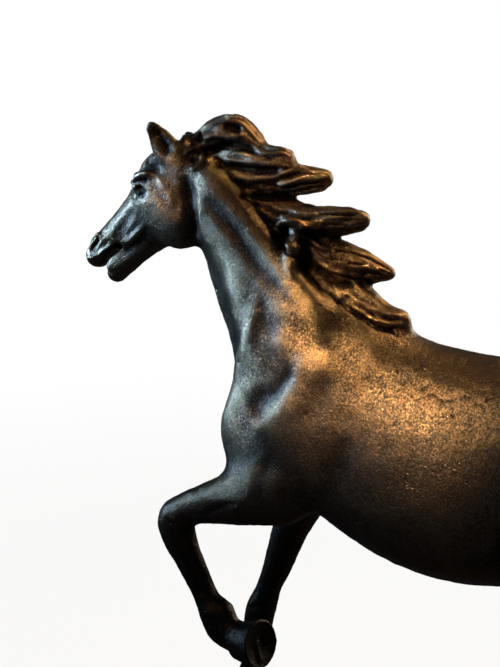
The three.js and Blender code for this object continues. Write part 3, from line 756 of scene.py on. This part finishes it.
def comb(mask, flows, strands, depth, turn=0.5, seed=1):
    """Cuts wavy grooves lengthwise round each flow of hair: stations (x, y, z, deep, wide) along it."""
    near = np.flatnonzero(mask)
    points = hand.points[near]
    nearest = np.full(len(near), np.inf)
    move = np.zeros(len(near))
    random = np.random.default_rng(seed)
    bend = uneven(points, 12, seed)
    swell = uneven(points, 15, seed + 1)
    for stations in flows:
        middle, girth, along, across, up = follow(stations)
        station, close = nearest_station(points, middle, girth.mean(1))
        offset = points - middle[station]
        slide = (offset * along[station]).sum(1)  # how far on from its station, so that no steps show
        gap = np.linalg.norm(middle[1] - middle[0])
        s = (station + np.clip(slide / gap, -1, 1)) / (len(middle) - 1)
        sideways = (offset * across[station]).sum(1) / girth[station, 1]
        upwards = (offset * up[station]).sum(1) / girth[station, 0]
        angle = np.arctan2(sideways, upwards)
        a, b, c, d = random.uniform(0, 2 * math.pi, 4)
        warp = angle + 0.30 * np.sin(2 * angle + a) + 0.16 * np.sin(3 * angle + b)
        wave = 2 * turn * s + 0.5 * np.sin(2.4 * math.pi * s + c) + 0.2 * np.sin(5 * math.pi * s + d)
        phase = strands * warp + strands * 0.25 * wave + 0.8 * bend
        ridge = np.abs(np.cos(phase / 2)) ** 0.75
        fine = np.abs(np.cos(phase + a)) ** 0.8
        pressed = depth * (0.85 * (1 - ridge) + 0.15 * (1 - fine) - 0.22)
        pressed *= np.clip((1.03 - s) / 0.12, 0.25, 1) * np.clip(0.85 + 0.35 * swell, 0.3, 1.4)
        win = close < nearest
        nearest[win] = close[win]
        move[win] = pressed[win]
    hand.points[near] -= move[:, None] * hand.normals[near]


print("a lock is followed in", len(follow([(0, 0, 0, 4, 4), (20, 0, 5, 3, 3)])[0]), "stations over 20 mm")

# %% [markdown]
# The mane is a bank of hair above a thin root line, which runs from the poll to the withers. Its six
# locks stream back from it, so the flow of each lock starts on the root line and ends at its tip. The
# tail leaves its root as one flow and parts into three.

# %% Mane and tail
ROOT_LINE = [(-84, 229), (-77.4, 229.4), (-72, 226.4), (-64, 218.5), (-56, 210), (-49, 202.4),
             (-41.5, 195.6), (-36.3, 189.8), (-30.5, 185.1), (-25.1, 181.6), (-18, 177.6), (-11.3, 174.6),
             (-3, 171.4)]
MANE_FLOWS = [
    [(-86, 0, 232, 3.6, 4), (-78, 0, 236.5, 5.4, 6), (-70.5, 0, 236.5, 6.6, 6.5), (-62, 0, 232.5, 4.6, 5)],
    [(-80, 0, 228.5, 5, 5.5), (-70, 0, 229, 5, 5.5), (-60, -1, 228, 5.4, 5.5), (-49, -1, 227, 4.7, 4.6)],
    [(-72, 0, 221, 5.5, 5.5), (-66, 0, 220, 5.5, 5.5), (-55, 1, 221, 6.2, 5.5), (-45, 1, 221.4, 4.7, 4.6),
     (-36, 1, 221.8, 3.4, 3.6)],
    [(-62, 0, 212, 6, 6), (-56, 0, 210.5, 5.5, 6), (-44, -1, 208.4, 6, 5.5), (-32, -1, 208.2, 4.6, 4.6),
     (-21, -1, 208.8, 3.6, 3.6)],
    [(-50, 0, 203, 6.5, 6.5), (-45, 0, 199.5, 6.5, 6.5), (-34, 1, 195.8, 7.4, 6), (-23, 1, 193.6, 5.2, 4.8),
     (-12, 1, 191.5, 2.6, 2.8)],
    [(-40, 0, 192, 6, 6), (-35, 0, 188, 6, 6), (-24, -1, 182, 6.2, 5.5), (-14, -1, 177.2, 4.6, 4.6),
     (-6, -1, 177, 3.8, 3.6)],
]
TAIL_FLOWS = [
    [(80, 0, 160, 7, 7), (88, 0, 163.5, 6.5, 6.5), (102, 0, 164, 8, 8), (116, 0, 155, 9, 8.5),
     (126, 0, 139, 8, 7.5), (132, 0, 121, 6, 5.5), (139, 0, 104, 2.4, 2.6)],
    [(98, 0, 163, 6, 7), (112, 4, 161, 6, 5), (126, 7, 151, 5.5, 4.6), (136, 8, 136, 4, 3.6),
     (142, 8, 121, 1.8, 2)],
    [(100, 0, 159, 6, 7), (112, -4, 147, 6, 5), (119, -7, 130, 5.2, 4.6), (122, -8, 112, 3.8, 3.6),
     (128, -8, 97, 1.8, 2)],
]


def above(line, points):
    """Which points are above a line that is drawn on the side view."""
    x, z = np.array(line).T
    return points[:, 2] > np.interp(points[:, 0], x, z, left=np.inf, right=np.inf)


mane = above(ROOT_LINE, hand.points)
comb(mane, MANE_FLOWS, strands=7, depth=1.6, seed=3)
tail_root = [(82, 150), (100, 152), (104, 96), (150, 96)]
tail = (hand.points[:, 0] > 82) & (hand.points[:, 2] > 92) & above(tail_root, hand.points)
comb(tail, TAIL_FLOWS, strands=10, depth=1.8, turn=0.3, seed=5)
hand.look("mane and tail")
print("combed", int(mane.sum()), "points of the mane and", int(tail.sum()), "of the tail")

# %% [markdown]
# Between the locks the hair is cut in deep, and a few strands on each lock stand out as thick wavy
# ridges. One stray lock hangs down over the neck, with a deep hollow behind it.

# %% Locks
draw([ROOT_LINE], width=1.3, depth=1.4, sides=BOTH, sharp=True)
draw([
    [(-82.6, 231), (-77, 231), (-70.3, 233), (-63.9, 232), (-58.5, 230.5)],
    [(-74, 225.5), (-70.9, 226), (-63.5, 225), (-57.2, 224.2), (-50, 224.6)],
    [(-64, 216.5), (-59.6, 216), (-54.8, 215.6), (-48, 216)],
    [(-49, 205), (-44.3, 205.6), (-39.6, 204.4), (-34, 203.4)],
    [(-37.5, 193), (-34.5, 191.6), (-29.7, 188.8), (-24, 188)],
], width=2.2, depth=2.0, sides=BOTH, sharp=True)
draw([[(-71.2, 239.2), (-69.4, 238.7), (-67.2, 238.1)], [(-82.8, 235.8), (-81.2, 235)]],
     width=2.2, depth=2.2, sides=BOTH, ends=(0, 0))
draw([
    [(-82.9, 232.7), (-78.9, 235.2), (-74.7, 236), (-69, 235.4), (-64, 236)],
    [(-76.9, 232.6), (-71.8, 230.6), (-65.9, 230), (-60.7, 228.6), (-56, 228.3)],
    [(-72, 229.4), (-67.2, 227.4), (-59.4, 227), (-52.4, 226.4), (-47.4, 225.4)],
    [(-66, 222.6), (-61, 221.4), (-54.7, 222.2), (-49.4, 223.6), (-45, 224.4), (-39, 223.6)],
    [(-64.5, 219.6), (-60.5, 218.8), (-53, 219.3), (-47.6, 220.6), (-43.2, 221.8), (-37.3, 221)],
    [(-59.7, 216.8), (-51.8, 216.8), (-43.4, 217.6), (-36.3, 219)],
    [(-58, 213.6), (-53.9, 213.6), (-49.1, 212.6), (-42.8, 210.8), (-37.5, 210.4), (-31.1, 211.2),
     (-23.6, 211.6)],
    [(-53, 210.6), (-49.9, 210), (-43.7, 208.6), (-39.5, 207.6), (-33.9, 208.8), (-26, 209.6)],
    [(-43, 206.6), (-37.4, 206.4), (-30.2, 207), (-22.3, 207.8)],
    [(-40.4, 203.4), (-38, 201.2), (-34.5, 199.4), (-30, 199.2), (-25.3, 198.4), (-20.6, 196.4)],
    [(-38.6, 199.4), (-35.6, 196.8), (-30.6, 195.4), (-25, 195.4), (-19.5, 194.2), (-14, 192.8)],
    [(-37, 195.6), (-31.4, 192.4), (-24.8, 191.4), (-17.3, 190.8)],
    [(-28, 186.6), (-22, 183.4), (-16.5, 180.6), (-10.5, 179.3), (-6.7, 179.4)],
    [(-24.6, 182.9), (-18, 178.9), (-11, 176.6), (-5.7, 176.4)],
], width=1.5, depth=-1.0, sides=BOTH, ends=(0.2, 0.12))
STRAY_LOCK = [(-46.8, 206), (-44.4, 202), (-43.4, 197.5), (-42.4, 192.6), (-41, 188.6)]
BEHIND_STRAY_LOCK = [(-40.4, 203.8), (-39.8, 199.4), (-39.8, 195), (-39.2, 191.6)]
muscle([STRAY_LOCK], width=3.6, depth=-1.9)
draw([[(-50, 206.6), (-46, 208.2), (-41.4, 207.4), (-39, 205)]], width=1.6, depth=-1.0, sides=BOTH)
draw([BEHIND_STRAY_LOCK], width=2.4, depth=2.2, sides=BOTH, sharp=True)
hand.look("locks")

# %% [markdown]
# The head is the part that a viewer looks at first. The modeller gave it a shelf of a brow, with the
# eye deep in shadow under it. The socket is pressed first, then the ball of the eye is raised in it and
# the lids are drawn over the ball. The facial crest runs down from there, with a hollow above it.

# %% Head
EYE = (-104.8, 216.9)
dab(EYE, width=4.6, depth=2.6, sides=BOTH)
UNDER_BROW = [(-109.4, 219), (-107.5, 220), (-104, 220.6), (-100.6, 220.6)]
draw([UNDER_BROW], width=1.7, depth=1.3, sides=BOTH)
hand.look()
BROW_EDGE = [(-110, 220.8), (-107.9, 222), (-105, 222.9), (-101.5, 223.3), (-96.5, 222.6)]
draw([BROW_EDGE], width=1.9, depth=-1.1, sides=BOTH, ends=(0.1, 0.4))
dab(EYE, width=2.8, depth=-1.2, sides=BOTH)
hand.look()
UPPER_LID = [(-107.8, 216.4), (-106.6, 218.6), (-104.5, 219.5), (-102.2, 218.5), (-101.0, 216.6)]
LOWER_LID = [(-107.8, 216.2), (-106.3, 214.7), (-104.3, 214.1), (-102.2, 214.9), (-101.0, 216.4)]
draw([UPPER_LID], width=0.9, depth=-0.5, sides=BOTH)
draw([LOWER_LID], width=0.8, depth=-0.15, sides=BOTH)
FACIAL_CREST = [(-122.4, 195.4), (-118, 196.8), (-112, 199.3), (-107, 202.6), (-101.5, 207.6)]
ABOVE_CREST = [(-119.4, 199.8), (-115.8, 203.2), (-111.4, 207.4), (-107.2, 211.2)]
BELOW_CREST = [(-119, 193), (-114, 195), (-108.6, 198), (-104, 200.6)]
TEMPLE = [(-98.6, 222.6), (-94.6, 220), (-91.4, 216), (-89.4, 210)]
muscle([FACIAL_CREST], width=2.4, depth=-0.7)
muscle([ABOVE_CREST], width=3.4, depth=0.6)
muscle([BELOW_CREST], width=3.2, depth=0.6)
muscle([TEMPLE], width=2.8, depth=-0.6)
hand.look("head")

# %% [markdown]
# The nostril is a comma with a raised rim. The mouth is open, so each lip has an edge and the corner
# between them is cut in sharply. Under the chin a soft groove parts the two bars of the jaw.

# %% Muzzle
NOSTRIL = [(-127.0, 199.2), (-129, 198), (-130.8, 195.7)]
NOSTRIL_RIM = [(-125.6, 199.2), (-127.8, 200.6), (-130.4, 199.7), (-132.4, 197)]
UPPER_LIP = [(-133, 191.4), (-130.6, 191.6), (-127, 193.1), (-123.6, 195.2), (-120, 197.4)]
ABOVE_LIP = [(-131.6, 193.6), (-128.6, 194.2), (-125, 196.2), (-121.6, 198.6)]
MOUTH = [(-128, 189.6), (-125, 192), (-121, 194.8), (-117, 196.4)]
LOWER_LIP = [(-127, 187.8), (-123.4, 186.6), (-119.4, 187.4)]
UNDER_JAW = [(-116, 0, 186), (-109, 0, 191), (-101, 0, 194)]
draw([NOSTRIL], width=1.6, depth=1.8, sides=BOTH, ends=(0.2, 0), sharp=True)
draw([NOSTRIL_RIM], width=1.2, depth=-0.6, sides=BOTH)
draw([UPPER_LIP], width=1.4, depth=-0.4, sides=BOTH)
draw([ABOVE_LIP], width=1.8, depth=0.5, sides=BOTH)
draw([MOUTH], width=1.2, depth=1.3, sides=BOTH, sharp=True)
draw([LOWER_LIP], width=1.8, depth=0.5, sides=BOTH)
press(UNDER_JAW, width=2.4, depth=1.0, ends=SOFT_ENDS)
hand.look("muzzle")

# %% [markdown]
# The ears are pricked leaves, open to the side. Each gets a fuller back edge first, so that there is
# room to hollow its shell. A curl of the mane lies behind each, and the forelock is combed down between
# them.

# %% Ears and forelock
EAR_BACK = [(-97.4, 241.6), (-93.6, 239.2), (-89.8, 235.8), (-86.6, 231.8)]
EAR_SHELL = [(-97.6, 238.8), (-95, 235.6), (-92.8, 232.6), (-91, 230.2)]
EAR_FRONT = [(-100.4, 239.4), (-99.2, 236), (-98.2, 232), (-97.6, 227.6)]
CURL = [(-86.6, 229), (-84.2, 231.6), (-81.2, 230.6), (-79.6, 228), (-80.6, 225.2), (-83.6, 224.8)]
draw([EAR_BACK], width=3.6, depth=-1.5, sides=BOTH)
hand.look()
draw([EAR_SHELL], width=4.6, depth=2.0, sides=BOTH, ends=(0.25, 0.25))
draw([EAR_FRONT], width=1.1, depth=-0.5, sides=BOTH)
draw([CURL], width=1.3, depth=-1.2, sides=BOTH)
dab((-82.8, 228), width=1.5, depth=1.1, sides=BOTH)
FORELOCK_FLOW = [(-87, 0, 232.5, 4, 4.5), (-99, 0, 229.5, 3.6, 4.5), (-106, -1, 226, 2.6, 3),
                 (-110, -1, 222.5, 1.5, 1.6)]
forelock = above([(-112, 222.5), (-104, 225.4), (-96, 227.4), (-87, 231)], hand.points)
forelock &= np.abs(hand.points[:, 1]) < 4.5
comb(forelock, [FORELOCK_FLOW], strands=8, depth=1.0, seed=9)
hand.look("ears and forelock")

# %% [markdown]
# Nothing cast in sand is quite even. The whole skin swells and sinks a little, and small holes are left
# where grains of sand fell in. Most are on the back, in a broken line over the left flank.

# %% Sand casting
swells = 0.05 * uneven(hand.points, 10, 21)
ripples = 0.03 * uneven(hand.points, 3.6, 22)
hand.push(swells + ripples + 0.02 * uneven(hand.points, 2.0, 23))
PITS = [(2.6, 165.3), (5.7, 160.2), (8.8, 158.4), (11.2, 157.5), (13.5, 157), (15.1, 155.5), (15.8, 153.4),
        (18.8, 158.9), (22.2, 157.4), (24.4, 156.9), (25.4, 159), (31, 157), (36, 158.4), (-4.3, 164)]
SMALL_PITS = 70
random = np.random.default_rng(7)
for x, z in PITS:
    run = random.uniform((0.3, -0.7), (1.5, 0.7))
    places = [(x - run[0], z - run[1]), (x, z + 0.3), (x + run[0], z + run[1])]
    press(places, random.uniform(0.6, 0.9), random.uniform(0.35, 0.6), ends=(0, 0), sharp=True)
for _ in range(SMALL_PITS):
    place = tuple(random.uniform((-72, 104), (78, 186)))
    dab(place, random.uniform(0.6, 1.0), random.uniform(0.2, 0.55), (random.choice(BOTH),), sharp=True)
for place in ((-73.8, -7.5, 184.1), (-68.3, -9, 165.5), (-61.1, -14, 164.2), (-59.2, -15, 161.2)):
    dab(place, width=1.1, depth=0.8, sharp=True)
hand.look("sand casting")

# %% [markdown]
# The wear follows the form, so it is worked out from the finished skin: how far each point stands out
# of its surroundings is kept on it as the attribute that the material reads.

# %% Wear
def set_proud(piece, times=40, reach=0.45):
    """How far each point stands out of its surroundings, as an attribute from 0 to 1."""
    skin = Skin(piece)
    around = skin.averaged(skin.points, times)
    proud = ((skin.points - around) * skin.normals).sum(1)
    shown = np.clip(0.5 + proud / (2 * reach), 0, 1)
    attribute = piece.data.attributes.new("proud", "FLOAT", "POINT")
    attribute.data.foreach_set("value", shown.astype(np.float32))
    print(piece.name, "proud from", round(proud.min(), 2), "to", round(proud.max(), 2), "mm")


def finish_piece(piece, material, node):
    set_proud(piece)
    only(piece)
    bpy.ops.object.shade_smooth()
    piece.data.materials.append(material)
    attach(piece, "root")
    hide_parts(node)
    print(piece.name, "has", count_of(piece), "triangles")


MOST_TRIANGLES = 196000
modify(horse, "DECIMATE", ratio=MOST_TRIANGLES / count_of(horse))
finish_piece(horse, horse_finish, "horse")

# %% [markdown]
# The base is a rough slab. Its top is uneven, and the ground rises a little round each hoof that stands
# on it.

# %% Base
MOUND_RADIUS = 13
MOUND_SLOPE = 6
MOUND_HEIGHT = 0.55

base = copy_of("base", "iron_base")
modify(base, "REMESH", mode="VOXEL", voxel_size=1.0 * MM)
modify(base, "SMOOTH", factor=0.5, iterations=8)
ground = Skin(base)
raised = slope((ground.points[:, 2] - 1.0) / 3)
swells = 0.10 * uneven(ground.points, 11, 31, 120)
ripples = 0.06 * uneven(ground.points, 4.5, 32, 120)
ground.push(raised * (swells + ripples))
for x, y in STANDING_HOOVES:
    away = np.linalg.norm(ground.points[:, :2] - (x, y), axis=1)
    ground.points[:, 2] += MOUND_HEIGHT * raised * slope((MOUND_RADIUS - away) / MOUND_SLOPE)
ground.look("base")
finish_piece(base, base_finish, "base")
